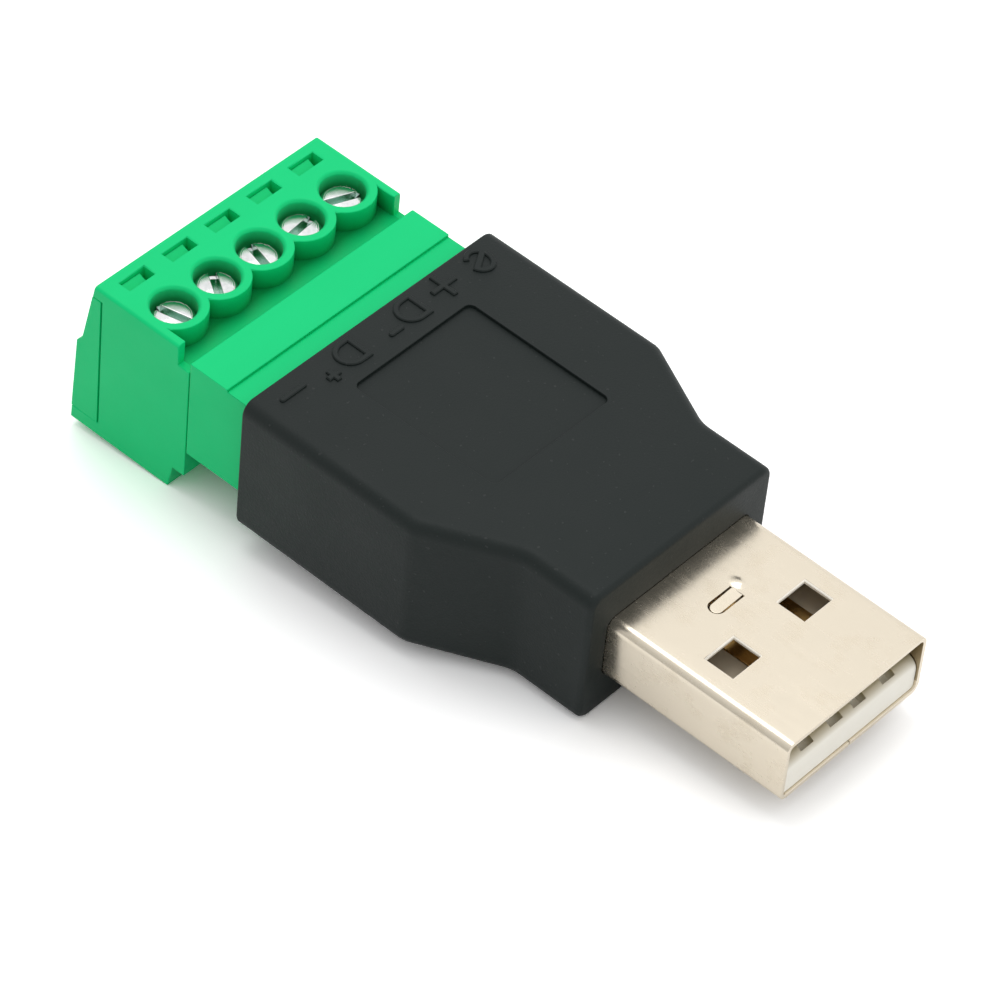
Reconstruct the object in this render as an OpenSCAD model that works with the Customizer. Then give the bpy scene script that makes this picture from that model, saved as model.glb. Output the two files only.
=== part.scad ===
// Adapter from a USB plug to a row of pluggable screw terminals.
// X runs from the wire entries to the tip of the USB plug, Y across the row of screws, Z up.

/* [USB plug] */
// Width of the metal shell
shell_w = 12; // [11:0.1:13]
// Height of the metal shell
shell_h = 4.5; // [4.2:0.1:5]
// Length of the shell that stands out of the housing
shell_len = 12.9; // [11:0.1:15]
// Length of the shell that is held in the housing's neck
shell_buried = 5.8; // [5:0.1:6.5]
// Thickness of the shell's sheet metal
sheet = 0.3; // [0.2:0.02:0.36]
// Outer bend radius of the shell
shell_r = 0.62; // [0.5:0.02:0.9]
// Gap of the folded seam under the shell
seam_gap = 0.06; // [0.04:0.01:0.12]
// Latch window, along the shell
window_len = 1.95; // [1.5:0.05:2.4]
// Latch window, across the shell
window_w = 2.36; // [1.8:0.02:2.8]
// Middle of a latch window, from the shell's tip
window_back = 6.4; // [5:0.1:7.5]
// Middle of a latch window, from the shell's middle line
window_side = 3.04; // [2.6:0.02:3.4]
// Width of the stamped locking tab
tab_w = 0.8; // [0.6:0.05:1]
// Length of the stamped locking tab
tab_len = 2.1; // [1.6:0.05:2.4]
// Width of the cut round the locking tab
tab_cut = 0.12; // [0.1:0.02:0.2]
// How far the free end of the locking tab is bent in
tab_sink = 0.1; // [0.05:0.01:0.3]
// How far the bend of the locking tab lies inside the sheet
tab_root = 0.2; // [0.1:0.05:0.4]
// Middle of the locking tab, in front of the housing
tab_out = 3.43; // [2.8:0.05:4.2]
// Middle of the locking tab, to one side of the shell's middle line
tab_side = -0.2; // [-0.5:0.05:0.5]
// Height of the tongue's top above the shell's middle
tongue_rise = 0.35; // [0:0.05:0.5]
// Length of the rounded nose at the tongue's front
tongue_slope = 0.9; // [0.5:0.05:1.2]
// Height of the rounded nose at the tongue's front
tongue_fall = 0.85; // [0.5:0.05:1.2]
// How far the tongue's front lies inside the shell's tip
tongue_inset = 0.15; // [0.05:0.05:0.5]
// Front of the solid block that carries the tongue, from the housing's front
block_front = 1.5; // [0.8:0.1:2.4]
// Width of a USB contact
contact_w = 1; // [0.8:0.05:1.2]
// Thickness of a USB contact
contact_t = 0.25; // [0.15:0.05:0.35]
// How far a contact stands above the tongue
contact_proud = 0.05; // [0.02:0.01:0.1]
// Place of the two inner contacts, from the middle line
contact_inner = 1; // [0.9:0.05:1.2]
// Place of the two outer contacts, from the middle line
contact_outer = 3.5; // [3.2:0.05:3.8]
// Tip of an outer contact, from the shell's tip
contact_back = 1.3; // [1:0.1:2]
// How much further back the inner contacts end
contact_stagger = 1; // [0.5:0.1:1.2]
// Front of the pockets before the contacts, from the shell's tip
pocket_back = 0.45; // [0.35:0.05:0.6]
// Length of the pockets before the contacts
pocket_len = 0.7; // [0.4:0.05:0.9]
// Depth of the pockets below the tongue's top
pocket_depth = 0.8; // [0.4:0.05:1.2]
// Length of a contact's solder tail on the circuit board
contact_tail = 2.2; // [1.5:0.1:3]

/* [Housing] */
// Length of the housing
housing_len = 23.7; // [22.5:0.1:28]
// Wall beside the terminal header
housing_side = 1.2; // [1:0.05:2]
// Wall above and below the terminal header
housing_roof = 1.3; // [1.1:0.05:2]
// Wall beside the USB shell in the neck
neck_side = 1.65; // [1.2:0.05:2.4]
// Length of the straight neck
neck_len = 5.1; // [4:0.1:5.6]
// Length of the taper between the body and the neck
taper_len = 5.7; // [5:0.1:7.5]
// Fillet on the long edges
edge_r = 0.9; // [0.5:0.05:1.1]
// Rounding of the shoulder, seen from above
shoulder_r = 1.6; // [0.5:0.1:3]
// Rounding where the taper meets the neck, seen from above
neck_r = 2.6; // [1:0.1:6]
// Rounding of the rim at the front
front_r = 0.35; // [0.15:0.05:0.45]
// Rounding of the rim at the rear
rear_r = 0.2; // [0.1:0.02:0.4]
// Length of the recessed panel on top
panel_len = 10.7; // [6:0.1:12]
// Width of the recessed panel on top
panel_w = 9.7; // [6:0.1:12]
// Depth of the recessed panel
panel_depth = 0.22; // [0.1:0.02:0.4]
// Corner radius of the recessed panel
panel_r = 0.45; // [0.2:0.05:1.5]
// Rear edge of the panel, from the housing's rear
panel_inset = 3.3; // [2.5:0.1:5]

/* [Circuit board] */
// Thickness of the circuit board
board_t = 1; // [0.8:0.1:1.2]
// Top of the board below the housing's middle
board_drop = 1.3; // [1:0.05:1.4]
// Edge of the board, from the housing's outer side
board_inset = 2.3; // [2.1:0.05:3]
// Gap between the board and the header
board_gap = 0.2; // [0.1:0.05:0.4]
// Width of the shelf in the housing that carries the board
shelf_w = 0.9; // [0.5:0.05:1.4]

/* [Terminal row] */
// Distance between neighbouring poles
pole_pitch = 3.5; // [3.45:0.01:4]
// Width of the row beyond the outer poles' share, at each end
row_end = 0.5; // [0.4:0.05:1]

/* [Header] */
// Height of the header
header_h = 7.2; // [6.8:0.1:7.8]
// Depth of the header, along its pins
header_depth = 9.2; // [8.6:0.1:10.5]
// How far the header stands out of the housing
header_out = 5.1; // [4.4:0.1:5.8]
// Wall at the sides and the floor of the header
header_wall = 0.8; // [0.6:0.05:0.9]
// Wall at the roof of the header
header_roof = 1.2; // [1.1:0.05:1.5]
// Wall that holds the pins
header_back = 1.8; // [1.2:0.1:2.2]
// Height of the step across the header's roof
header_step = 0.2; // [0.1:0.05:0.35]
// Length of the header's collar behind the step
header_collar = 2.9; // [2:0.1:3.8]
// Chamfer round the header's mating rim
header_chamfer = 0.06; // [0.04:0.02:0.4]
// Thickness of a square pin
pin_t = 0.8; // [0.6:0.05:1]
// Tip of a pin, from the mating face
pin_inset = 1.4; // [1.1:0.1:2.4]
// Length of a pin's solder tail on the circuit board
pin_tail = 3.4; // [2:0.1:4.5]
// Length of a pin's pointed tip
pin_point = 0.6; // [0.3:0.1:1]
// Width of a guide rib on the plug's nose
rib_w = 1.2; // [0.8:0.1:1.6]
// Height of a guide rib on the plug's nose
rib_h = 0.4; // [0.2:0.05:0.5]

/* [Terminal plug] */
// Screw axis, behind the mating face
screw_back = 3.5; // [3.3:0.05:4]
// Drop of the ledge before the screw towers, below the header's roof
ledge_drop = 0.8; // [0.5:0.05:1.1]
// Front of the screw towers' end walls, behind the mating face
tower_back = 0.95; // [0.6:0.05:1.2]
// Wall round a screw bore at the scalloped front
lobe_wall = 0.66; // [0.5:0.02:0.8]
// Wall at each end of the scalloped towers
end_wall = 0.6; // [0.4:0.05:0.8]
// Solid base below the clamp cells
plug_base = 3.27; // [2.4:0.01:4]
// Length of the undercut at the front of the base
foot_back = 1.3; // [0.8:0.1:2.2]
// Height of the undercut at the front of the base
foot_h = 1.7; // [1:0.1:2.2]
// Lean of the undercut's rear, from bottom to top
foot_lean = 0.3; // [0:0.05:0.5]
// Rounding of the plug's top edges at both ends
plug_edge_r = 0.25; // [0.15:0.05:0.6]
// Gap between the nose and the end of the header's cavity
nose_gap = 0.4; // [0.2:0.05:0.8]
// Wall at the front of the nose
nose_wall = 0.8; // [0.5:0.05:1.2]
// Chamfer on the nose
nose_chamfer = 0.3; // [0.1:0.05:0.4]

/* [Rear cover] */
// Joint of the rear cover, behind the mating face
seam_back = 7; // [6.8:0.05:7.8]
// Width of the joint that shows at the ends
joint_gap = 0.1; // [0.05:0.01:0.15]
// Thickness of the cover at its top
cover_top_t = 0.6; // [0.4:0.05:1]
// Thickness of the cover above its rear step
cover_step_t = 1.45; // [1.2:0.05:1.7]
// Width of the rear step
cover_step = 0.42; // [0.2:0.02:0.5]
// Height of the rear step above the wire funnels
cover_step_rise = 0.65; // [0.4:0.05:0.9]
// Drop of the slanted shelf across the rear step
cover_step_drop = 0.5; // [0.2:0.05:0.6]
// Thickness of the cover at its foot
cover_foot_t = 2.2; // [2:0.05:2.8]
// Lip of the plug body over the cover
cover_lip = 0.9; // [0.85:0.05:1.1]
// Lip of the plug body under the cover
cover_sill = 0.95; // [0.8:0.05:1.4]
// Wire funnel at the rear face, across and up
funnel = 2.7; // [2.5:0.05:3]
// Throat of a wire entry, across
throat_w = 1.9; // [1.5:0.05:2]
// Length of the collar that guides the wire into the cell
collar_len = 1.5; // [0.8:0.05:1.6]
// Wall of that collar
collar_wall = 0.33; // [0.2:0.01:0.35]
// Latch window in the plug's roof, along the plug
latch_len = 0.9; // [0.7:0.05:1]
// Latch window in the plug's roof, across the pole
latch_w = 2.05; // [1.6:0.05:2.2]
// Width that the lug leaves open in its latch window
latch_open = 0.35; // [0.2:0.05:0.8]
// Depth of the lug's rear below the plug's roof
latch_sink = 0.33; // [0.2:0.01:0.45]
// How much lower the lug's front lies
latch_ramp = 0.35; // [0.1:0.05:0.4]
// Thickness of the tongue that carries a lug
latch_tongue = 0.6; // [0.45:0.05:0.7]

/* [Clamps] */
// Diameter of a screw head
head_d = 2.65; // [2.3:0.05:2.7]
// Height of a screw head
head_h = 0.9; // [0.8:0.05:1.2]
// Bevel round the top of a screw head
head_bevel = 0.28; // [0.1:0.02:0.35]
// Depth of the screw heads below the plug's roof
head_sink = 0.8; // [0.4:0.05:1]
// Width of a driver slot
slot_w = 0.5; // [0.35:0.05:0.7]
// Depth of a driver slot
slot_depth = 0.55; // [0.3:0.05:0.7]
// Direction of each driver slot in degrees, pole by pole
slot_turn = [14, -33, -15, -84, 68];
// Thread diameter of a screw
thread_d = 2; // [1.6:0.1:2.1]
// Radial gap between a screw head and its bore
bore_gap = 0.06; // [0.05:0.01:0.15]
// Flare at the mouth of a screw bore
bore_flare = 0.18; // [0.05:0.01:0.25]
// Web between the screw bore and the clamp cell
web_t = 0.4; // [0.3:0.05:0.6]
// Width of a clamp cage
cage_w = 2.6; // [2.4:0.05:2.7]
// Length of a clamp cage, along the wire
cage_len = 3; // [2.4:0.1:3.2]
// Side wall of a clamp cage
cage_side = 0.35; // [0.25:0.01:0.36]
// Threaded top wall of a clamp cage
cage_top = 0.9; // [0.6:0.05:1.1]
// Floor of a clamp cage
cage_floor = 0.6; // [0.4:0.05:0.8]
// Height of the wire opening when a clamp is open
wire_gap = 2; // [1.8:0.05:2.3]
// Lift of a clamp cage from open to closed
cage_lift = 1.6; // [1.2:0.05:1.7]
// Width of a contact bar
bar_w = 1.6; // [1.2:0.05:1.7]
// Thickness of a contact bar
bar_t = 0.8; // [0.6:0.05:1]
// Thickness of a contact's spring arms
arm_t = 0.28; // [0.2:0.02:0.4]

/* [Clearances] */
// Gap between pieces that are pushed together once
seat_gap = 0.03; // [0.02:0.01:0.05]
// Gap round pieces that slide or turn
slide_gap = 0.05; // [0.03:0.01:0.08]
// Gap round the plug's nose in the header
mate_gap = 0.1; // [0.05:0.01:0.15]

/* [Hidden] */
$fn = 48;
poles = 5;
arc_n = 8;
rim_n = 4;
eps = 0.01;
past = 2;

row_w = poles * pole_pitch + 2 * row_end;
pole_y = [for (i = [0 : poles - 1]) (i - (poles - 1) / 2) * pole_pitch];
contact_y = [-contact_outer, -contact_inner, contact_inner, contact_outer];

// Heights, from the housing's underside upwards
housing_h = header_h + 2 * housing_roof;
axis_z = housing_h / 2;
header_top = axis_z + header_h / 2;
header_bottom = axis_z - header_h / 2;
board_top = axis_z - board_drop;
pin_z = board_top + pin_t / 2;
bar_top = pin_z + bar_t / 2;
bar_bottom = pin_z - bar_t / 2;
screw_tip = bar_top + 2 * slide_gap;
cage_high = screw_tip + cage_top;
wire_low = bar_bottom - wire_gap;
cage_low = wire_low - cage_floor;
wire_z = (bar_bottom + wire_low) / 2;
cell_high = cage_high + cage_lift + slide_gap;
cell_low = cage_low - 2 * slide_gap;
bore_low = cell_high + web_t;
head_low = bore_low + slide_gap;
head_high = head_low + head_h;
plug_top = head_high + head_sink;
plug_bottom = cell_low - plug_base;
ledge_z = header_top - ledge_drop;
cavity_top = header_top - header_roof;
step_z = wire_z + funnel / 2 + cover_step_rise;
cover_high = plug_top - cover_lip;
cover_low = plug_bottom + cover_sill;
tongue_top = axis_z + tongue_rise;
contact_top = tongue_top + contact_proud;

// Lengths, from the housing's front face backwards
rear_x = -housing_len;
mate_x = rear_x - header_out;
header_x = mate_x + header_depth;
cavity_x = header_x - header_back;
board_rear = header_x + board_gap;
board_front = -shell_buried - slide_gap;
screw_x = mate_x - screw_back;
tower_x = mate_x - tower_back;
plug_front = mate_x - slide_gap;
nose_x = cavity_x - nose_gap;
seam_x = mate_x - seam_back;
plug_rear = seam_x - cover_foot_t;

// Widths
housing_w = row_w + 2 * housing_side;
neck_w = shell_w + 2 * neck_side;
cavity_w = row_w - 2 * header_wall;
nose_w = cavity_w - 2 * mate_gap;
bore_r = head_d / 2 + bore_gap;
lobe_r = bore_r + lobe_wall;
cell_w = cage_w + 2 * slide_gap;
fork_h = pin_t + 2 * slide_gap + 2 * arm_t;
channel_h = fork_h + 4 * slide_gap;
channel_w = bar_w + 2 * slide_gap;
collar_w = cell_w - 2 * seat_gap;
throat_h = wire_gap;
collar_h = throat_h + 2 * collar_wall;
latch_x = seam_x + joint_gap;

// Puts the origin under the middle of the whole adapter
module place() {
    translate([-(plug_rear + shell_len) / 2, 0, -plug_bottom]) children();
}

// Draws an outline in Y and Z along X
module along_x(from, to) {
    translate([from, 0, 0]) rotate([90, 0, 90]) linear_extrude(to - from) children();
}

// Draws an outline in X and Z across Y
module across_y(width) {
    translate([0, width / 2, 0]) rotate([90, 0, 0]) linear_extrude(width) children();
}

// Box between two corners
module box(low, high) {
    translate(low) cube(high - low);
}

module rounded_rect(w, h, r) {
    square([w - 2 * r, h], center = true);
    square([w, h - 2 * r], center = true);
    for (sx = [-1, 1], sy = [-1, 1])
        translate([sx * (w / 2 - r), sy * (h / 2 - r)]) circle(r);
}

// Housing: a loft of filleted sections along its length

taper_turn = atan((housing_w - neck_w) / 2 / taper_len);
shoulder_x = -neck_len - taper_len;

function steps(n) = [for (i = [0 : n]) i / n];

// Each station holds its place, its half width and how far its rim is drawn in
function rear_rim(turn) = [rear_x + rear_r * (1 - cos(turn)), housing_w / 2, rear_r * (1 - sin(turn))];

function shoulder(turn) = [
    shoulder_x - shoulder_r * tan(taper_turn / 2) + shoulder_r * sin(turn),
    housing_w / 2 - shoulder_r * (1 - cos(turn)),
    0
];

function neck(turn) = [
    -neck_len + neck_r * tan(taper_turn / 2) - neck_r * sin(turn),
    neck_w / 2 + neck_r * (1 - cos(turn)),
    0
];

function front_rim(turn) = [-front_r * (1 - cos(turn)), neck_w / 2, front_r * (1 - sin(turn))];

stations = concat(
    [for (s = steps(rim_n)) rear_rim(90 * s)],
    [for (s = steps(arc_n)) shoulder(taper_turn * s)],
    [for (s = steps(arc_n)) neck(taper_turn * (1 - s))],
    [for (s = steps(rim_n)) front_rim(90 * (1 - s))]
);

function section(s) = let (
    w = s[1] - s[2],
    h = housing_h / 2 - s[2],
    r = edge_r - s[2]
) [
    for (q = [0 : 3], k = steps(arc_n)) let (
        turn = 90 * (q + k),
        side_y = q == 0 || q == 3 ? w - r : r - w,
        side_z = q < 2 ? h - r : r - h
    ) [s[0], side_y + r * cos(turn), axis_z + side_z + r * sin(turn)]
];

module housing_form() {
    ring_n = 4 * (arc_n + 1);
    last = len(stations) - 1;
    polyhedron(
        points = [for (s = stations) each section(s)],
        faces = concat(
            [[for (j = [0 : ring_n - 1]) j]],
            [[for (j = [ring_n - 1 : -1 : 0]) last * ring_n + j]],
            [
                for (i = [0 : last - 1], j = [0 : ring_n - 1], half = [0, 1]) let (
                    a = i * ring_n + j,
                    b = i * ring_n + (j + 1) % ring_n
                ) half == 0 ? [a, a + ring_n, b + ring_n] : [a, b + ring_n, b]
            ]
        )
    );
}

// Outline of the circuit board, which follows the housing's taper
module board_outline(grow, front) {
    wide = housing_w / 2 - board_inset + grow;
    slim = wide - (front - shoulder_x) * (housing_w - neck_w) / 2 / taper_len;
    polygon([
        [board_rear - grow, -wide], [shoulder_x, -wide], [front, -slim],
        [front, slim], [shoulder_x, wide], [board_rear - grow, wide]
    ]);
}

module header_socket() {
    half = row_w / 2 + seat_gap;
    box(
        [rear_x - past, -half, header_bottom - seat_gap],
        [header_x, half, header_top - header_step + seat_gap]
    );
}

module board_space() {
    board_low = board_top - board_t;
    front = board_front + slide_gap;
    translate([0, 0, board_low]) linear_extrude(header_top - header_step - board_low) union() {
        board_outline(slide_gap, front);
        translate([header_x - eps, -housing_w / 2 + board_inset])
            square([board_rear - header_x + eps, housing_w - 2 * board_inset]);
    }
    translate([0, 0, header_bottom]) linear_extrude(board_low - header_bottom + eps) union() {
        board_outline(-shelf_w, front);
        translate([header_x - eps, -housing_w / 2 + board_inset + shelf_w])
            square([board_rear + shelf_w - header_x + 2 * eps, housing_w - 2 * board_inset - 2 * shelf_w]);
    }
}

module neck_hole() {
    grow = 2 * seat_gap;
    along_x(board_front - eps, past) translate([0, axis_z])
        rounded_rect(shell_w + grow, shell_h + grow, shell_r + seat_gap);
}

module panel_recess() {
    middle = rear_x + panel_inset + panel_len / 2;
    translate([middle, 0, housing_h - panel_depth]) linear_extrude(past)
        rounded_rect(panel_len, panel_w, panel_r);
}

module housing() {
    color([0.2, 0.21, 0.21]) place() difference() {
        housing_form();
        header_socket();
        board_space();
        neck_hole();
        panel_recess();
    }
}

module circuit_board() {
    color([0.1, 0.35, 0.2]) place() translate([0, 0, board_top - board_t]) linear_extrude(board_t)
        board_outline(0, board_front);
}

// USB plug

module shell_windows() {
    for (side = [-1, 1])
        translate([shell_len - window_back, side * window_side, axis_z])
            cube([window_len, window_w, shell_h + past], center = true);
}

module tab_outline(grow) {
    r = tab_w / 2 + grow;
    end = tab_len / 2;
    translate([0, tab_w / 2 - end]) circle(r);
    translate([-r, tab_w / 2 - end]) square([2 * r, tab_len - tab_w / 2]);
}

// The tab hangs from one end and leans into the shell
module locking_tab() {
    root = tab_len / 2 + tab_root;
    translate([tab_out, tab_side + root, axis_z + shell_h / 2]) rotate([atan(tab_sink / tab_len), 0, 0])
        translate([0, -root, -sheet]) linear_extrude(sheet) union() {
            tab_outline(0);
            translate([-tab_w / 2, 0]) square([tab_w, root]);
        }
}

module locking_tab_hole() {
    translate([tab_out, tab_side, axis_z + shell_h / 2 - sheet - eps]) linear_extrude(past)
        tab_outline(tab_cut);
}

module shell_seam() {
    low = axis_z - shell_h / 2;
    box(
        [-shell_buried - past, -seam_gap / 2, low - past],
        [shell_len + past, seam_gap / 2, low + sheet + eps]
    );
}

module usb_shell() {
    color([0.85, 0.83, 0.78]) place() union() {
        difference() {
            along_x(-shell_buried, shell_len) translate([0, axis_z]) difference() {
                rounded_rect(shell_w, shell_h, shell_r);
                rounded_rect(shell_w - 2 * sheet, shell_h - 2 * sheet, shell_r - sheet);
            }
            shell_windows();
            locking_tab_hole();
            shell_seam();
        }
        locking_tab();
    }
}

function contact_tip(i) = shell_len - contact_back
    - (abs(contact_y[i]) < contact_outer ? contact_stagger : 0);

// A contact lies on the tongue, passes the carrier block and steps down to the board
module contact_strip(i, tip, width, grow) {
    low = contact_top - contact_t;
    riser = board_front - contact_t - slide_gap;
    translate([0, contact_y[i], 0]) across_y(width) polygon([
        [tip, low - grow],
        [tip, contact_top + grow],
        [riser, contact_top + grow],
        [riser, board_top + contact_t],
        [riser - contact_tail, board_top + contact_t],
        [riser - contact_tail, board_top],
        [riser + contact_t, board_top],
        [riser + contact_t, low - grow]
    ]);
}

function tongue_nose(tip, turn) = [
    tip - tongue_slope * (1 - cos(turn)),
    tongue_top - tongue_fall * (1 - sin(turn))
];

module usb_insulator() {
    inner_w = shell_w - 2 * sheet - 2 * seat_gap;
    inner_h = shell_h - 2 * sheet - 2 * seat_gap;
    low = axis_z - inner_h / 2;
    tip = shell_len - tongue_inset;
    pocket_front = shell_len - pocket_back;
    half = contact_w / 2 + seat_gap;
    color([0.92, 0.9, 0.84]) place() difference() {
        intersection() {
            along_x(-shell_buried, shell_len) translate([0, axis_z])
                rounded_rect(inner_w, inner_h, shell_r - sheet - seat_gap);
            across_y(shell_w) polygon(concat(
                [[-shell_buried, low - eps], [tip, low - eps]],
                [for (s = steps(arc_n)) tongue_nose(tip, 90 * s)],
                [
                    [block_front, tongue_top],
                    [block_front, low + inner_h + eps],
                    [-shell_buried, low + inner_h + eps]
                ]
            ));
        }
        for (i = [0 : len(contact_y) - 1]) {
            contact_strip(i, pocket_front - eps, 2 * half, seat_gap);
            box(
                [pocket_front - pocket_len, contact_y[i] - half, tongue_top - pocket_depth],
                [pocket_front, contact_y[i] + half, tongue_top + past]
            );
        }
    }
}

module usb_contact(i) {
    color([0.8, 0.65, 0.35]) place() contact_strip(i, contact_tip(i), contact_w, 0);
}

// Header

module pin_bar(from, to, t) {
    outline = [
        [from, -t / 4], [from + pin_point, -t / 2], [to, -t / 2],
        [to, t / 2], [from + pin_point, t / 2], [from, t / 4]
    ];
    intersection() {
        across_y(t) polygon(outline);
        translate([0, 0, -t / 2]) linear_extrude(t) polygon(outline);
    }
}

module guide_ribs(grow, from, to) {
    for (y = pole_y)
        box(
            [from, y - rib_w / 2 - grow, cavity_top - mate_gap - eps],
            [to, y + rib_w / 2 + grow, cavity_top - mate_gap + rib_h + grow]
        );
}

module header_form() {
    c = header_chamfer;
    half = row_w / 2;
    step_x = mate_x + header_collar;
    intersection() {
        translate([0, 0, header_bottom]) linear_extrude(header_h) polygon([
            [mate_x, c - half], [mate_x + c, -half], [header_x, -half],
            [header_x, half], [mate_x + c, half], [mate_x, half - c]
        ]);
        across_y(row_w + past) polygon([
            [mate_x + c, header_bottom], [header_x, header_bottom],
            [header_x, header_top - header_step], [step_x, header_top - header_step],
            [step_x, header_top], [mate_x + c, header_top],
            [mate_x, header_top - c], [mate_x, header_bottom + c]
        ]);
    }
}

module header_body() {
    hole = pin_t / 2 + seat_gap;
    color([0.15, 0.62, 0.36]) place() difference() {
        header_form();
        box(
            [mate_x - past, -cavity_w / 2, header_bottom + header_wall],
            [cavity_x, cavity_w / 2, cavity_top]
        );
        guide_ribs(mate_gap, mate_x - past, cavity_x);
        for (y = pole_y)
            box([cavity_x - eps, y - hole, pin_z - hole], [header_x + past, y + hole, pin_z + hole]);
    }
}

module header_pin(i) {
    color([0.8, 0.78, 0.72]) place() translate([0, pole_y[i], pin_z])
        pin_bar(mate_x + pin_inset, header_x + pin_tail, pin_t);
}

// Terminal plug

// Side view of the plug's block, with its sloped and stepped rear
module plug_side() {
    polygon([
        [plug_front, ledge_z], [tower_x, ledge_z],
        [tower_x, plug_top], [seam_x - cover_top_t, plug_top],
        [seam_x - cover_step_t, step_z], [seam_x - cover_step_t - cover_step, step_z - cover_step_drop],
        [plug_rear, plug_bottom], [mate_x - foot_back, plug_bottom],
        [mate_x - foot_back + foot_lean, plug_bottom + foot_h], [plug_front, plug_bottom + foot_h]
    ]);
}

// End view of the plug's block, with rounded top edges
module plug_end() {
    r = plug_edge_r;
    half = row_w / 2;
    translate([-half, plug_bottom]) square([row_w, plug_top - plug_bottom - r]);
    translate([r - half, plug_bottom]) square([row_w - 2 * r, plug_top - plug_bottom]);
    for (side = [-1, 1]) translate([side * (half - r), plug_top - r]) circle(r);
}

module plug_block() {
    intersection() {
        across_y(row_w + past) plug_side();
        along_x(plug_rear - past, mate_x) plug_end();
    }
}

module plug_nose() {
    c = nose_chamfer;
    low = header_bottom + header_wall + mate_gap;
    high = cavity_top - mate_gap;
    across_y(nose_w) polygon([
        [tower_x, low], [nose_x - c, low], [nose_x, low + c],
        [nose_x, high - c], [nose_x - c, high], [tower_x, high]
    ]);
    guide_ribs(0, plug_front - eps, nose_x - nose_chamfer);
}

// Space in front of the scalloped screw towers
module scallops() {
    inner = row_w / 2 - end_wall;
    translate([0, 0, ledge_z]) linear_extrude(plug_top - ledge_z + past) difference() {
        translate([screw_x, -inner]) square([screw_back, 2 * inner]);
        for (y = pole_y) translate([screw_x, y]) circle(lobe_r);
    }
}

module cover_zone(gap, joint) {
    box(
        [plug_rear - past, -row_w, cover_low + gap],
        [seam_x - joint, row_w, cover_high - gap]
    );
}

// Bore, clamp cell, contact channel and latch window of one pole
module pole_spaces(y) {
    cell_front = screw_x + cage_len / 2 + 2 * slide_gap;
    hole = pin_t / 2 + 4 * slide_gap;
    translate([screw_x, y, bore_low]) cylinder(h = plug_top - bore_low + past, r = bore_r);
    translate([screw_x, y, plug_top - bore_flare])
        cylinder(h = 2 * bore_flare, r1 = bore_r, r2 = bore_r + 2 * bore_flare);
    translate([screw_x, y, cell_high - eps]) cylinder(h = web_t + 2 * eps, r = thread_d / 2 + slide_gap);
    box([seam_x - eps, y - cell_w / 2, cell_low], [cell_front, y + cell_w / 2, cell_high]);
    box(
        [cell_front - eps, y - channel_w / 2, pin_z - channel_h / 2],
        [nose_x - nose_wall, y + channel_w / 2, pin_z + channel_h / 2]
    );
    box([nose_x - nose_wall - eps, y - hole, pin_z - hole], [nose_x + past, y + hole, pin_z + hole]);
    box(
        [latch_x, y - latch_w / 2, cover_high - eps],
        [latch_x + latch_len, y + latch_w / 2, plug_top + past]
    );
    box(
        [seam_x - eps, y - latch_w / 2, cover_high - latch_tongue - 2 * seat_gap],
        [latch_x + latch_len, y + latch_w / 2, cover_high]
    );
}

module plug_body() {
    color([0.15, 0.62, 0.36]) place() difference() {
        union() {
            plug_block();
            plug_nose();
        }
        cover_zone(0, 0);
        scallops();
        for (y = pole_y) pole_spaces(y);
    }
}

// Funnel that narrows from the rear face to the throat, then runs straight
module wire_funnel(y) {
    end = seam_x + collar_len + past;
    translate([0, y, wire_z]) intersection() {
        across_y(funnel) polygon([
            [plug_rear - eps, -funnel / 2], [seam_x, -throat_h / 2], [end, -throat_h / 2],
            [end, throat_h / 2], [seam_x, throat_h / 2], [plug_rear - eps, funnel / 2]
        ]);
        translate([0, 0, -funnel / 2]) linear_extrude(funnel) polygon([
            [plug_rear - eps, -funnel / 2], [seam_x, -throat_w / 2], [end, -throat_w / 2],
            [end, throat_w / 2], [seam_x, throat_w / 2], [plug_rear - eps, funnel / 2]
        ]);
    }
}

module wire_collar(y) {
    box(
        [seam_x - joint_gap - eps, y - collar_w / 2, wire_z - collar_h / 2],
        [seam_x + collar_len, y + collar_w / 2, wire_z + collar_h / 2]
    );
}

// Tongue under the plug's roof, with the lug that catches in the latch window
module latch(y) {
    high = cover_high - seat_gap;
    side = latch_w / 2 - seat_gap;
    front = latch_x + latch_len - seat_gap;
    box([seam_x - joint_gap - eps, y - side, high - latch_tongue], [front, y + side, high]);
    translate([0, y - latch_open / 2, 0]) across_y(2 * side - latch_open) polygon([
        [latch_x + seat_gap, high - eps],
        [front, high - eps],
        [front, plug_top - latch_sink - latch_ramp],
        [latch_x + seat_gap, plug_top - latch_sink]
    ]);
}

module plug_rear_cover() {
    color([0.15, 0.62, 0.36]) place() difference() {
        union() {
            intersection() {
                plug_block();
                cover_zone(seat_gap, joint_gap);
            }
            for (y = pole_y) {
                wire_collar(y);
                latch(y);
            }
        }
        for (y = pole_y) wire_funnel(y);
    }
}

// A contact is a flat bar under the screw that splits into two spring arms round the pin
module spring_contact(i) {
    bar_rear = screw_x - cage_len / 2;
    base = screw_x + cage_len / 2 + 4 * slide_gap;
    root = mate_x + pin_inset / 2;
    tip = nose_x - nose_wall - slide_gap;
    inner = pin_t / 2 + slide_gap;
    color([0.78, 0.72, 0.55]) place() translate([0, pole_y[i], pin_z]) across_y(bar_w) polygon([
        [bar_rear, -bar_t / 2], [base, -bar_t / 2], [base, -fork_h / 2], [tip, -fork_h / 2],
        [tip, -inner], [root, -inner], [root, inner], [tip, inner],
        [tip, fork_h / 2], [base, fork_h / 2], [base, bar_t / 2], [bar_rear, bar_t / 2]
    ]);
}

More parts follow.
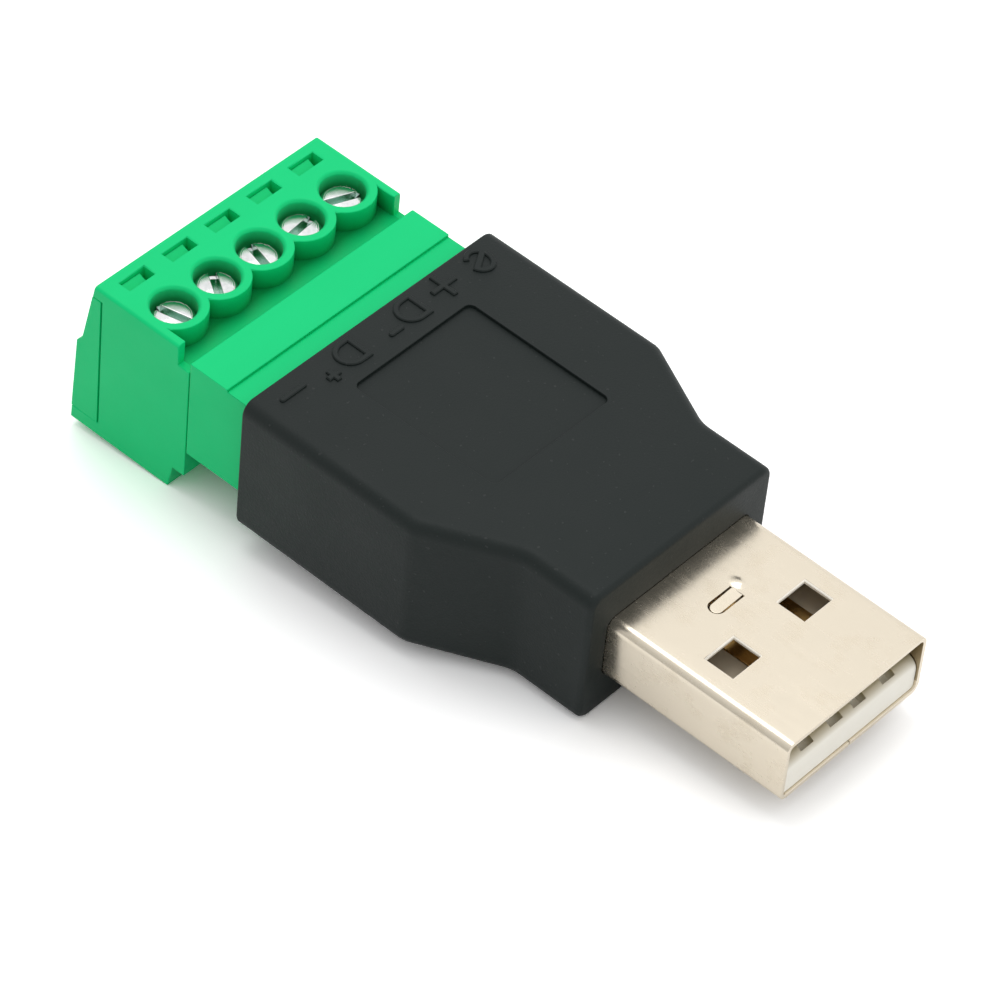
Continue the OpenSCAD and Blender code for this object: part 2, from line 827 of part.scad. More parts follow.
module wire_cage(i) {
    bore_start = screw_tip - cage_lift - slide_gap;
    color([0.75, 0.76, 0.78]) place() translate([screw_x, pole_y[i], 0]) difference() {
        along_x(-cage_len / 2, cage_len / 2) difference() {
            translate([-cage_w / 2, cage_low]) square([cage_w, cage_high - cage_low]);
            translate([cage_side - cage_w / 2, wire_low])
                square([cage_w - 2 * cage_side, cage_high - cage_top - wire_low]);
        }
        translate([0, 0, bore_start])
            cylinder(h = cage_high - bore_start + past, r = thread_d / 2 + slide_gap);
    }
}

module clamp_screw(i) {
    color([0.8, 0.81, 0.82]) place() translate([screw_x, pole_y[i], 0]) difference() {
        rotate_extrude() polygon([
            [0, screw_tip], [thread_d / 2 - head_bevel, screw_tip], [thread_d / 2, screw_tip + head_bevel],
            [thread_d / 2, head_low], [head_d / 2, head_low],
            [head_d / 2, head_high - head_bevel], [head_d / 2 - head_bevel, head_high], [0, head_high]
        ]);
        rotate(slot_turn[i]) translate([0, 0, head_high])
            cube([head_d + past, slot_w, 2 * slot_depth], center = true);
    }
}

housing();
circuit_board();
usb_shell();
usb_insulator();
for (i = [0 : len(contact_y) - 1])
    usb_contact(i);
header_body();
for (i = [0 : poles - 1])
    header_pin(i);
plug_body();
plug_rear_cover();
for (i = [0 : poles - 1])
    spring_contact(i);
for (i = [0 : poles - 1])
    wire_cage(i);
for (i = [0 : poles - 1])
    clamp_screw(i);
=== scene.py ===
import bpy
import bmesh
import math
from mathutils import Matrix, Vector
from mathutils.geometry import tessellate_polygon


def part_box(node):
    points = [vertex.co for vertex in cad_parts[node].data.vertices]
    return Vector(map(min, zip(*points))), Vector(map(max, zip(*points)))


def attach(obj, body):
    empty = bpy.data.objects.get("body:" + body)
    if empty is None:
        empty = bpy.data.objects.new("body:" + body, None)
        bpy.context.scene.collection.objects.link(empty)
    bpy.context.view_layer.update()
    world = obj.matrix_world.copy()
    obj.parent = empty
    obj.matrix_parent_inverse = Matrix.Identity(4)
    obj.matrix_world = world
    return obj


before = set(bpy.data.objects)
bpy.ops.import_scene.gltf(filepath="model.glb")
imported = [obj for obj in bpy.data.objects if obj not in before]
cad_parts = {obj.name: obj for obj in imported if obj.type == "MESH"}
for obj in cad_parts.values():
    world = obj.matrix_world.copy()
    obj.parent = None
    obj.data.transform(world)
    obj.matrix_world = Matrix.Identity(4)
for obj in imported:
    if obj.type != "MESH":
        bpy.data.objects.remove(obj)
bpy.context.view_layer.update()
mm = 0.001
poleCount = 5
contactCount = 4
print("frame loaded:", len(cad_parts), "nodes")


class Wire:  # one shader socket, with the maths that is done on it
    def __init__(self, tree, socket=None):
        self.tree = tree
        self.socket = socket

    def add(self, kind, settings=None, inputs=None, out=0):
        node = self.tree.nodes.new("ShaderNode" + kind)
        for key, value in (settings or {}).items():
            setattr(node, key, value)
        for key, value in (inputs or {}).items():
            if isinstance(value, Wire):
                self.tree.links.new(value.socket, node.inputs[key])
            else:
                node.inputs[key].default_value = value
        return Wire(self.tree, node.outputs[out] if node.outputs else None)

    def math(self, operation, a, b=0.0):
        return self.add("Math", {"operation": operation}, {0: a, 1: b})

    def __add__(self, other):
        return self.math("ADD", self, other)

    def __sub__(self, other):
        return self.math("SUBTRACT", self, other)

    def __rsub__(self, other):
        return self.math("SUBTRACT", other, self)

    def __mul__(self, other):
        return self.math("MULTIPLY", self, other)

    def __truediv__(self, other):
        return self.math("DIVIDE", self, other)

    def __rtruediv__(self, other):
        return self.math("DIVIDE", other, self)

    def __gt__(self, other):
        return self.math("GREATER_THAN", self, other)

    def __abs__(self):
        return self.math("ABSOLUTE", self)

    __radd__ = __add__
    __rmul__ = __mul__

    def clamp(self, low=0.0, high=1.0):
        return self.math("MINIMUM", self.math("MAXIMUM", self, low), high)

    def wave(self, length):  # a sine, once over each length
        return self.math("SINE", self * (2 * math.pi / length))

    def zigzag(self):  # up to a half and back, once over each whole number
        return self.math("PINGPONG", self, 0.5)

    def place(self):  # the point in the part's own frame, in metres
        return self.add("TexCoord", out="Object")

    def axes(self, point):
        node = self.add("SeparateXYZ", inputs={0: point})
        return [Wire(self.tree, out) for out in node.socket.node.outputs]

    def inBox(self, point, low, high):  # 1 inside a box
        mask = 1.0
        for axis, a, b in zip(self.axes(point), low, high):
            mask = ((b - a) / 2 - abs(axis - (a + b) / 2) > 0.0) * mask
        return mask

    def noise(self, point, size, detail=2.0, rough=0.5):  # size of the blotches in metres
        inputs = {"Vector": point, "Scale": 1 / size, "Detail": detail, "Roughness": rough}
        return self.add("TexNoise", inputs=inputs)

    def stretch(self, point, by):
        return self.add("VectorMath", {"operation": "MULTIPLY"}, {0: point, 1: by})

    def tint(self, factor, first, second):
        inputs = {"Factor": factor, 6: first, 7: second}
        return self.add("Mix", {"data_type": "RGBA"}, inputs, out=2)

    def bump(self, height, depth, strength=1.0, over=None):  # over: the bump that it lies on
        inputs = {"Height": height, "Distance": depth, "Strength": strength}
        if over:
            inputs["Normal"] = over
        return self.add("Bump", inputs=inputs)


def startMaterial(name):
    material = bpy.data.materials.new(name)
    material.use_nodes = True
    material.node_tree.nodes.clear()
    return material, Wire(material.node_tree)


def closeMaterial(wire, inputs):
    surface = wire.add("BsdfPrincipled", inputs=inputs)
    wire.add("OutputMaterial", inputs={"Surface": surface})


def grey(value):
    return (value, value, value, 1)


# In the looks a noise has its size, detail and roughness, and a relief its depth and strength
even = 0.5  # what a noise gives on average

# Dark housing: spark-eroded plastic with a fine even grain
housingLook = dict(
    dark=(0.0052, 0.0092, 0.0085, 1), pale=(0.0105, 0.0165, 0.0152, 1), dust=(0.02, 0.0245, 0.0235, 1),
    grain=(0.15 * mm, 3.0, 0.6), blotch=(4 * mm, 3.0), grainShare=0.7, speck=(0.26 * mm, 0.0), dusty=0.81,
    rough=0.52, roughSpread=0.16, relief=(0.018 * mm, 0.8), gloss=0.26)


def housingPlastic():
    look = housingLook
    material, w = startMaterial("housingPlastic")
    p = w.place()
    grain = w.noise(p, *look["grain"])
    blotch = w.noise(p, *look["blotch"])
    mottle = grain * look["grainShare"] + blotch * (1 - look["grainShare"])
    plain = w.tint(mottle.clamp(), look["dark"], look["pale"])
    dusty = w.noise(p, *look["speck"]) > look["dusty"]  # a few grains of dust
    rough = look["rough"] + (grain + blotch - 2 * even) * look["roughSpread"]
    closeMaterial(w, {
        "Base Color": w.tint(dusty, plain, look["dust"]), "Roughness": rough,
        "Specular IOR Level": look["gloss"], "Normal": w.bump(grain, *look["relief"])})
    return material


# The row of screw axes, for the looks that follow it
rowLow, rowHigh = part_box("clamp_screw_3")
rowX = (rowLow[0] + rowHigh[0]) / 2
rowPitch = -sum(corner[1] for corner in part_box("clamp_screw_1")) / (poleCount - 1)
rowHalf = rowPitch * (poleCount - 1) / 2


def fromAxis(w, x, y):  # offsets from the nearest screw axis
    last = (poleCount - 1) / 2
    return x - rowX, y - rowPitch * w.math("ROUND", y / rowPitch).clamp(-last, last)


# Green terminal plastic: smooth moulding with faint flow marks, with painted shade deep in the bores and at
# the towers' feet
greenLook = dict(
    base=(0.004, 0.655, 0.218, 1), deep=(0.003, 0.62, 0.202, 1), shade=(0.002, 0.22, 0.055, 1),
    foot=(0.001, 0.1, 0.005, 1), bore=1.5 * mm, drop=0.9 * mm, before=3.32 * mm, past=1.75 * mm,
    footDrop=2.0 * mm, deepest=4 * mm, flow=(2.5 * mm, 4.0), flowAlong=(1.0, 0.35, 1.0), flowGain=1.6,
    flowLess=0.3, peel=(0.35 * mm, 2.0), rough=0.36, roughSpread=0.12, boreRough=0.5,
    relief=(0.004 * mm, 0.7), gloss=0.15)


def terminalPlastic():
    look = greenLook
    material, w = startMaterial("terminalPlastic")
    p = w.place()
    x, y, z = w.axes(p)
    dx, dy = fromAxis(w, x, y)
    flow = w.noise(w.stretch(p, look["flowAlong"]), *look["flow"])
    peel = w.noise(p, *look["peel"])
    inBore = look["bore"] * look["bore"] - (dx * dx + dy * dy) > 0.0
    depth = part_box("plug_body")[1][2] - z
    plain = w.tint((flow * look["flowGain"] - look["flowLess"]).clamp(), look["base"], look["deep"])
    shallow = look["deepest"] - depth > 0.0  # so that the plug's underside stays plain
    # Painted shade at the towers' feet: the foot colour darkens the tower walls and the ledge before them
    # towards the bottom
    byTower = ((look["before"] - dx) / look["bore"]).clamp() * (dx > 0.0) * shallow
    byTower = byTower * (rowHalf + look["past"] - abs(y) > 0.0)
    footShaded = w.tint(byTower * (depth / look["footDrop"]).clamp(), plain, look["foot"])
    # Painted shade down the screw bores, darkening towards the shade colour below the bore's rim
    boreShade = inBore * shallow * (depth / look["drop"]).clamp()
    rough = look["rough"] + (peel + flow - 2 * even) * look["roughSpread"] + boreShade * look["boreRough"]
    closeMaterial(w, {
        "Base Color": w.tint(boreShade, footShaded, look["shade"]), "Roughness": rough,
        "Specular IOR Level": look["gloss"], "Normal": w.bump(peel, *look["relief"])})
    return material


# Nickel-plated shell: drawn along its length, faintly stained, with painted shade inside its mouth, torn
# where punched
shellLook = dict(
    base=(0.81, 0.727, 0.592, 1), stained=(0.7, 0.61, 0.47, 1), inner=(0.4, 0.33, 0.22, 1),
    torn=(0.95, 0.9, 0.8, 1), tornRough=0.65, tornMetal=0.35, tornX=(8 * mm, 5 * mm), tornY=5 * mm,
    tornZ=(0.32 * mm, 0.03 * mm), wall=0.28 * mm, mouth=4 * mm, sill=0.9 * mm,
    drawn=(0.2 * mm, 3.0, 0.6), drawnAlong=(0.06, 1.0, 1.0), drawnShare=0.9,
    stain=(1.8 * mm, 5.0, 0.62), stainGain=2.0, stainMost=0.6, speck=(0.12 * mm, 2.0),
    rough=0.25, drawnRough=0.14, stainRough=0.2, speckRough=0.08, relief=(0.0003 * mm, 0.8))


def shellNickel():
    look = shellLook
    material, w = startMaterial("shellNickel")
    p = w.place()
    drawn = w.noise(w.stretch(p, look["drawnAlong"]), *look["drawn"])
    stain = w.noise(p, *look["stain"])
    speck = w.noise(p, *look["speck"])
    low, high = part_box("usb_shell")
    wall, tornX, tornZ = look["wall"], look["tornX"], look["tornZ"]
    # Painted shade inside the shell's mouth: the inner colour darkens its inner walls
    mouth = w.inBox(p, (high[0] - look["mouth"], low[1] + wall, low[2] + look["sill"]),
                    (high[0], high[1] - wall, high[2] - wall))
    torn = w.inBox(p, (high[0] - tornX[0], -look["tornY"], high[2] - tornZ[0]),
                   (high[0] - tornX[1], look["tornY"], high[2] - tornZ[1]))
    stained = ((stain - even) * look["stainGain"]).clamp(0.0, look["stainMost"])
    plain = w.tint(stained, look["base"], look["stained"])
    rough = look["rough"] + (drawn - even) * look["drawnRough"] + (stain - even) * look["stainRough"]
    rough = rough + (speck - even) * look["speckRough"]
    relief = drawn * look["drawnShare"] + speck * (1 - look["drawnShare"])
    closeMaterial(w, {
        "Base Color": w.tint(torn, w.tint(mouth, plain, look["inner"]), look["torn"]),
        "Roughness": rough + torn * (look["tornRough"] - look["rough"]),
        "Metallic": 1 - torn * (1 - look["tornMetal"]), "Normal": w.bump(relief, *look["relief"])})
    return material


# Ivory tongue of the USB plug, with painted shade towards its root, along its upper edge and in the
# contacts' lanes
ivoryLook = dict(
    base=(0.99, 0.96, 0.87, 1), deep=(0.95, 0.91, 0.8, 1), inner=(0.42, 0.36, 0.27, 1),
    upper=(0.42, 0.34, 0.17, 1), laneShade=(0.36, 0.3, 0.14, 1), clean=1.6 * mm, fade=2.0 * mm,
    edge=0.6 * mm, front=0.3 * mm, darken=0.6 * mm, least=0.55, slack=0.04 * mm, laneDeep=0.85 * mm,
    flow=(1.2 * mm, 4.0), peel=(0.2 * mm, 2.0), rough=0.42, roughSpread=0.15, relief=(0.004 * mm, 0.6))


def tongueIvory():
    look = ivoryLook
    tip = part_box("usb_insulator")[1][0]
    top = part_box("usb_contact_1")[1][2]
    material, w = startMaterial("tongueIvory")
    p = w.place()
    x, y, z = w.axes(p)
    flow = w.noise(p, *look["flow"])
    peel = w.noise(p, *look["peel"])
    # Painted shade deeper inside the shell: the inner colour darkens the tongue towards its root
    inside = ((tip - look["clean"] - x) / look["fade"]).clamp()
    # Painted shade under the shell's lip: the upper colour darkens the tongue's top edge
    raised = ((z - (top - look["edge"])) / look["edge"]).clamp()
    # Painted shade in the contacts' lanes, darkest towards their back and top
    laneShading = 0.0
    for k in (1, 2):  # the other two contacts mirror these
        low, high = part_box("usb_contact_%d" % k)
        fromLane = abs(abs(y) - abs(low[1] + high[1]) / 2)
        laneShading = (look["slack"] + (high[1] - low[1]) / 2 - fromLane > 0.0) + laneShading
    behind = tip - look["front"] - x
    laneShading = laneShading * (behind > 0.0) * (look["least"] + behind / look["darken"]).clamp()
    laneShading = laneShading * (1 - (top - z) / look["laneDeep"]).clamp()  # palest at the bottom of the lanes
    colour = w.tint(raised, w.tint(flow, look["base"], look["deep"]), look["upper"])
    closeMaterial(w, {
        "Base Color": w.tint(laneShading, w.tint(inside, colour, look["inner"]), look["laneShade"]),
        "Roughness": look["rough"] + (peel - even) * look["roughSpread"],
        "Normal": w.bump(peel, *look["relief"])})
    return material


# Plated strips, pins, bars and cages: one recipe with its own colour for each
platedLooks = {
    "contactGilt": dict(base=(0.93, 0.64, 0.27, 1), worn=(0.75, 0.48, 0.19, 1), rough=0.24),
    "pinTin": dict(base=(0.78, 0.77, 0.73, 1), worn=(0.62, 0.60, 0.55, 1), rough=0.3),
    "barBronze": dict(base=(0.74, 0.68, 0.54, 1), worn=(0.60, 0.50, 0.34, 1), rough=0.34),
    "cageSteel": dict(base=(0.72, 0.74, 0.76, 1), worn=(0.54, 0.55, 0.56, 1), rough=0.3),
}
platedGrain = dict(
    streak=(0.07 * mm, 3.0, 0.6), streakAlong=(0.08, 1.0, 1.0), streakRough=0.18,
    cloud=(0.9 * mm, 4.0), cloudFrom=0.42, cloudGain=2.4, cloudRough=0.12, relief=(0.0015 * mm, 0.8))


def platedMetal(name):
    look, grain = platedLooks[name], platedGrain
    material, w = startMaterial(name)
    p = w.place()
    streak = w.noise(w.stretch(p, grain["streakAlong"]), *grain["streak"])
    cloud = w.noise(p, *grain["cloud"])
    worn = ((cloud - grain["cloudFrom"]) * grain["cloudGain"]).clamp()
    rough = look["rough"] + (streak - even) * grain["streakRough"] + (cloud - even) * grain["cloudRough"]
    closeMaterial(w, {
        "Base Color": w.tint(worn, look["base"], look["worn"]), "Roughness": rough,
        "Metallic": 1.0, "Normal": w.bump(streak, *grain["relief"])})
    return material


# Bright zinc screws: turned rings and a slight dome on the head, painted greenish shade in the head's slot,
# a thread on the shank
screwLook = dict(
    base=(0.86, 0.87, 0.87, 1), worn=(0.62, 0.65, 0.65, 1), slot=(0.48, 0.66, 0.58, 1), slotLip=0.12 * mm,
    cloud=(0.5 * mm, 4.0), cloudFrom=0.45, cloudGain=2.0, cloudRough=0.16, rough=0.15,
    ring=0.085 * mm, ringRelief=(0.002 * mm, 0.7), ringRough=0.03, lead=0.4 * mm, threadDepth=0.12 * mm,
    headHeight=0.9 * mm, headRadius=1.3 * mm, headFlat=1.04 * mm, domeHeight=0.1 * mm, shoulder=1.0)


def screwZinc():
    look = screwLook
    material, w = startMaterial("screwZinc")
    p = w.place()
    x, y, z = w.axes(p)
    dx, dy = fromAxis(w, x, y)
    radius = w.math("SQRT", dx * dx + dy * dy)
    rings = radius.wave(look["ring"])
    dome = (1 - radius * radius / (look["headRadius"] * look["headRadius"])) * look["domeHeight"]
    dome = dome + w.math("MAXIMUM", radius - look["headFlat"], 0.0) * look["shoulder"]
    turn = w.math("ARCTAN2", dy, dx) / (2 * math.pi)
    helix = (z / look["lead"] - turn).zigzag()
    onShank = (rowHigh[2] - look["headHeight"]) - z > 0.0
    onHead = 1 - onShank
    # Painted greenish shade in the head's slot
    inSlot = (rowHigh[2] - look["slotLip"] - z > 0.0) * (look["headFlat"] - radius > 0.0) * onHead
    cloud = w.noise(p, *look["cloud"])
    worn = ((cloud - look["cloudFrom"]) * look["cloudGain"]).clamp()
    turned = w.bump(rings * onHead, *look["ringRelief"])
    domed = w.bump(dome * onHead, 1.0, over=turned)
    closeMaterial(w, {
        "Base Color": w.tint(inSlot, w.tint(worn, look["base"], look["worn"]), look["slot"]),
        "Roughness": look["rough"] + rings * look["ringRough"] + (cloud - even) * look["cloudRough"],
        "Metallic": 1.0, "Normal": w.bump(helix * onShank, look["threadDepth"], over=domed)})
    return material


# Circuit board: woven laminate under green lacquer
boardLook = dict(
    lacquer=(0.012, 0.13, 0.045, 1), copper=(0.03, 0.22, 0.07, 1), weave=0.45 * mm, weaveRise=0.15,
    track=2.2 * mm, trackFrom=0.3, trackRise=0.6, rough=0.28, weaveRough=0.06, relief=(0.02 * mm, 0.6))


def boardLaminate():
    look = boardLook
    material, w = startMaterial("boardLaminate")
    x, y = w.axes(w.place())[:2]
    weave = x.wave(look["weave"]) * y.wave(look["weave"])
    track = (y / look["track"]).zigzag() > look["trackFrom"]
    relief = weave * look["weaveRise"] + track * look["trackRise"]
    closeMaterial(w, {
        "Base Color": w.tint(track, look["lacquer"], look["copper"]),
        "Roughness": look["rough"] + weave * look["weaveRough"],
        "Normal": w.bump(relief, *look["relief"])})
    return material


print("materials written")


# Even shading and softened edges for the solids: edges inside a zone are softened fully, the others in part
edgeLook = dict(weld=0.001 * mm, flat=0.5, sharp=35, segments=3)


def edgeGroup(name, zone=None, others=1.0):
    group = bpy.data.node_groups.new(name, "GeometryNodeTree")
    for way in ("INPUT", "OUTPUT"):
        group.interface.new_socket("Geometry", in_out=way, socket_type="NodeSocketGeometry")

    def add(kind, settings=None, inputs=None):
        node = group.nodes.new(kind)
        for key, value in (settings or {}).items():
            setattr(node, key, value)
        for key, value in (inputs or {}).items():
            if isinstance(value, bpy.types.NodeSocket):
                group.links.new(value, node.inputs[key])
            else:
                node.inputs[key].default_value = value
        return node.outputs

    begin = add("NodeGroupInput")[0]
    angles = add("GeometryNodeInputMeshEdgeAngle")  # plain, and signed to tell ridges from grooves
    more, sharp = {"operation": "GREATER_THAN"}, math.radians(edgeLook["sharp"])
    steep = add("FunctionNodeCompare", more, {0: angles[0], 1: sharp})[0]
    ridge = add("FunctionNodeCompare", more, {0: angles[1], 1: sharp})[0]
    weight = ridge
    if zone:
        axes = add("ShaderNodeSeparateXYZ", None, {0: add("GeometryNodeInputPosition")[0]})
        share = 1.0
        for axis, low, high in zip(axes, zone[0], zone[1]):
            sides = {0: axis, 1: (low + high) / 2, 2: (high - low) / 2}
            within = add("ShaderNodeMath", {"operation": "COMPARE"}, sides)[0]
            share = add("ShaderNodeMath", {"operation": "MULTIPLY"}, {0: within, 1: share})[0]
        part = {0: share, 1: 1 - others, 2: others}
        share = add("ShaderNodeMath", {"operation": "MULTIPLY_ADD"}, part)[0]
        weight = add("ShaderNodeMath", {"operation": "MULTIPLY"}, {0: share, 1: ridge})[0]
    plain = add("GeometryNodeRemoveAttribute", None, {"Geometry": begin, "Name": "custom_normal"})[0]
    smooth = add("GeometryNodeSetShadeSmooth", {"domain": "FACE"}, {"Geometry": plain})[0]
    crease = {"Geometry": smooth, "Selection": steep, "Shade Smooth": False}
    shaded = add("GeometryNodeSetShadeSmooth", {"domain": "EDGE"}, crease)[0]
    stored = {"Geometry": shaded, "Name": "bevel_weight_edge", "Value": weight}
    kept = add("GeometryNodeStoreNamedAttribute", {"domain": "EDGE", "data_type": "FLOAT"}, stored)[0]
    add("NodeGroupOutput", None, {0: kept})
    return group


def dress(node, material, edge, group):
    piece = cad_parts[node]
    piece.material_slots[0].material = material
    weld = piece.modifiers.new("weld", "WELD")
    weld.merge_threshold = edgeLook["weld"]
    flats = piece.modifiers.new("flats", "DECIMATE")
    flats.decimate_type = "DISSOLVE"
    flats.angle_limit = math.radians(edgeLook["flat"])
    shade = piece.modifiers.new("shade", "NODES")
    shade.node_group = group
    soft = piece.modifiers.new("soft", "BEVEL")
    soft.width = edge
    soft.segments = edgeLook["segments"]
    soft.limit_method = "WEIGHT"
    soft.use_clamp_overlap = False
    soft.harden_normals = True


# Edge softness of each solid: the shell's window rims are the softest edges of the shell
edges = dict(
    housing=0.05 * mm, shell=0.13 * mm, tongue=0.03 * mm, header=0.05 * mm, plug=0.08 * mm, cover=0.03 * mm,
    screw=0.05 * mm, strip=0.03 * mm, shellOthers=0.3)
rims = dict(behind=8.0 * mm, before=5.0 * mm, deep=0.05 * mm)
shellLow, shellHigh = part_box("usb_shell")
rimLow = (shellHigh[0] - rims["behind"], shellLow[1], shellHigh[2] - rims["deep"])
rimHigh = (shellHigh[0] - rims["before"], shellHigh[1], shellHigh[2] + rims["deep"])
plainEdges = edgeGroup("plainEdges")
shellEdges = edgeGroup("shellEdges", (rimLow, rimHigh), edges["shellOthers"])
plastic, green, nickel = housingPlastic(), terminalPlastic(), shellNickel()
plated = {name: platedMetal(name) for name in platedLooks}
zinc = screwZinc()

dress("housing", plastic, edges["housing"], plainEdges)
dress("usb_shell", nickel, edges["shell"], shellEdges)
dress("usb_insulator", tongueIvory(), edges["tongue"], plainEdges)
dress("circuit_board", boardLaminate(), edges["strip"], plainEdges)
dress("header_body", green, edges["header"], plainEdges)
dress("plug_body", green, edges["plug"], plainEdges)
dress("plug_rear_cover", green, edges["cover"], plainEdges)
for k in range(1, contactCount + 1):
    dress("usb_contact_%d" % k, plated["contactGilt"], edges["strip"], plainEdges)
for k in range(1, poleCount + 1):
    dress("header_pin_%d" % k, plated["pinTin"], edges["strip"], plainEdges)
    dress("spring_contact_%d" % k, plated["barBronze"], edges["strip"], plainEdges)
    dress("wire_cage_%d" % k, plated["cageSteel"], edges["strip"], plainEdges)
    dress("clamp_screw_%d" % k, zinc, edges["screw"], plainEdges)
print("solids dressed")


# Raised pole marks on the housing's roof: they read towards -Y, with their tops towards the USB plug
markLook = dict(
    stroke=0.35 * mm, rise=0.13 * mm, sunk=0.05 * mm, shoulder=0.06 * mm, mitre=0.5, baseline=0.36 * mm,
    tall=2.05 * mm, letter=1.9 * mm, flat=0.8 * mm, round=1.8 * mm, slant=26, gape=325, steps=18)


def arc(centre, reach, start, stop):
    steps = markLook["steps"]
    turns = [math.radians(start + (stop - start) * k / steps) for k in range(steps + 1)]
    return [(centre[0] + reach[0] * math.cos(t), centre[1] + reach[1] * math.sin(t)) for t in turns]


def minus(u, v, size):
    half = markLook["stroke"] / 2
    end = size / 2 - half
    return [arc((u + end, v), (half, half), -90, 90) + arc((u - end, v), (half, half), 90, 270)]


def plus(u, v, size):
    half, end = markLook["stroke"] / 2, size / 2
    corner = [(end, -half), (end, half), (half, half)]
    loop = []
    for quarter in range(4):
        loop += [(u + a, v + b) for a, b in corner]
        corner = [(-b, a) for a, b in corner]
    return [loop]


def letterD(u):
    thick, tall, flat = markLook["stroke"], markLook["tall"], markLook["flat"]
    bend, reach = (u + flat, tall / 2), markLook["letter"] - flat
    outer = [(u, 0)] + arc(bend, (reach, tall / 2), -90, 90) + [(u, tall)]
    inner = [(u + thick, thick)] + arc(bend, (reach - thick, tall / 2 - thick), -90, 90)
    inner += [(u + thick, tall - thick)]
    return [outer, inner[::-1]]


def letterE(u):  # a small e with a slanted bar
    thick, tall, slant = markLook["stroke"], markLook["tall"], markLook["slant"]
    wide = markLook["round"] / 2
    centre, outside = (u + wide, tall / 2), (wide, tall / 2)
    inside = (wide - thick, tall / 2 - thick)
    part = math.degrees(math.asin(thick / 2 / inside[0]))  # the bar's half thickness, seen from the middle
    rim = math.degrees(math.asin(thick / 2 / outside[0]))
    outer = arc(centre, outside, slant - rim, markLook["gape"])
    outer += arc(centre, inside, markLook["gape"], 180 + slant + part)
    eye = arc(centre, inside, slant + part, 180 + slant - part)
    return [outer, eye[::-1]]


def drawIn(loop, by):
    out = []
    for k, point in enumerate(loop):
        here = Vector(point)
        before = (here - Vector(loop[k - 1])).normalized()
        after = (Vector(loop[(k + 1) % len(loop)]) - here).normalized()
        side = Vector((-before.y, before.x))
        lean = (side + Vector((-after.y, after.x))).normalized()
        out.append(here + lean * (by / max(markLook["mitre"], lean.dot(side))))
    return out


def raisedMark(name, glyphs, startY):
    look = markLook
    low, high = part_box("housing")
    levels = [(-look["sunk"], 0), (look["rise"] - look["shoulder"], 0), (look["rise"], look["shoulder"])]
    bm = bmesh.new()
    for loops in glyphs:
        floors = []  # one list of rings for each level
        for z, inset in levels:
            rings = []
            for loop in loops:
                flat = drawIn(loop, inset)
                spots = [(low[0] + look["baseline"] + q.y, startY - q.x, high[2] + z) for q in flat]
                rings.append([bm.verts.new(spot) for spot in spots])
            floors.append(rings)
        for below, upper in zip(floors, floors[1:]):
            for a, b in zip(below, upper):
                for k in range(len(a)):
                    bm.faces.new((a[k - 1], a[k], b[k], b[k - 1]))
        for rings in (floors[0], floors[-1]):
            corners = [corner for ring in rings for corner in ring]
            for triangle in tessellate_polygon([[corner.co for corner in ring] for ring in rings]):
                bm.faces.new([corners[k] for k in triangle])
    bmesh.ops.recalc_face_normals(bm, faces=bm.faces)
    mesh = bpy.data.meshes.new(name)
    bm.to_mesh(mesh)
    bm.free()
    piece = bpy.data.objects.new(name, mesh)
    bpy.context.collection.objects.link(piece)
    mesh.materials.append(plastic)
    shade = piece.modifiers.new("shade", "NODES")
    shade.node_group = plainEdges
    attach(piece, "adapter")


# Where each mark starts along Y, then the signs' sizes, their heights and the places of the small ones
markRow = dict(
    earth=8.7 * mm, plus=4.75 * mm, dataMinus=2.8 * mm, dataPlus=-2.24 * mm, minus=-7.72 * mm)
signLook = dict(
    plus=1.95 * mm, minus=2.05 * mm, middle=1.0 * mm, smallPlus=0.95 * mm, smallMinus=1.15 * mm,
    upper=1.65 * mm, besidePlus=2.85 * mm, besideMinus=2.7 * mm)
middle, upper = signLook["middle"], signLook["upper"]
smallMinus = minus(signLook["besideMinus"], upper, signLook["smallMinus"])
smallPlus = plus(signLook["besidePlus"], upper, signLook["smallPlus"])
raisedMark("markEarth", [letterE(0)], markRow["earth"])
raisedMark("markPlus", [plus(0, middle, signLook["plus"])], markRow["plus"])
raisedMark("markDataMinus", [letterD(0), smallMinus], markRow["dataMinus"])
raisedMark("markDataPlus", [letterD(0), smallPlus], markRow["dataPlus"])
raisedMark("markMinus", [minus(0, middle, signLook["minus"])], markRow["minus"])
print("marks raised")


# Bulge in the shell where its locking tab is bent
bulgeLook = dict(
    back=9.93 * mm, side=1.35 * mm, long=0.65 * mm, wide=0.5 * mm, rise=0.1 * mm,
    lean=(0.3 * mm, 0.12 * mm), rings=12, turns=40)


def shellBulge():
    look = bulgeLook
    centre = Vector((shellHigh[0] - look["back"], look["side"], shellHigh[2]))
    bm = bmesh.new()
    crown = bm.verts.new(centre + Vector(look["lean"] + (look["rise"],)))
    before = None
    for k in range(1, look["rings"] + 1):
        out = k / look["rings"]
        lift = look["rise"] * (0.5 + 0.5 * math.cos(math.pi * out))
        ring = []
        for j in range(look["turns"]):
            turn = 2 * math.pi * j / look["turns"]
            step = Vector((look["long"] * math.cos(turn), look["wide"] * math.sin(turn)))
            step = step * out + Vector(look["lean"]) * (1 - out)
            ring.append(bm.verts.new(centre + Vector((step.x, step.y, lift))))
        for j in range(look["turns"]):
            if before:
                bm.faces.new((before[j - 1], ring[j - 1], ring[j], before[j]))
            else:
                bm.faces.new((crown, ring[j - 1], ring[j]))
        before = ring
    base = bm.faces.new(before[::-1])
    bmesh.ops.recalc_face_normals(bm, faces=bm.faces)
    for face in bm.faces:
        face.smooth = True
    for edge in base.edges:
        edge.smooth = False
    mesh = bpy.data.meshes.new("tabBulge")
    bm.to_mesh(mesh)
    bm.free()
    mesh.materials.append(nickel)
    piece = bpy.data.objects.new("tabBulge", mesh)
    bpy.context.collection.objects.link(piece)
    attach(piece, "adapter")


shellBulge()
print("bulge raised")


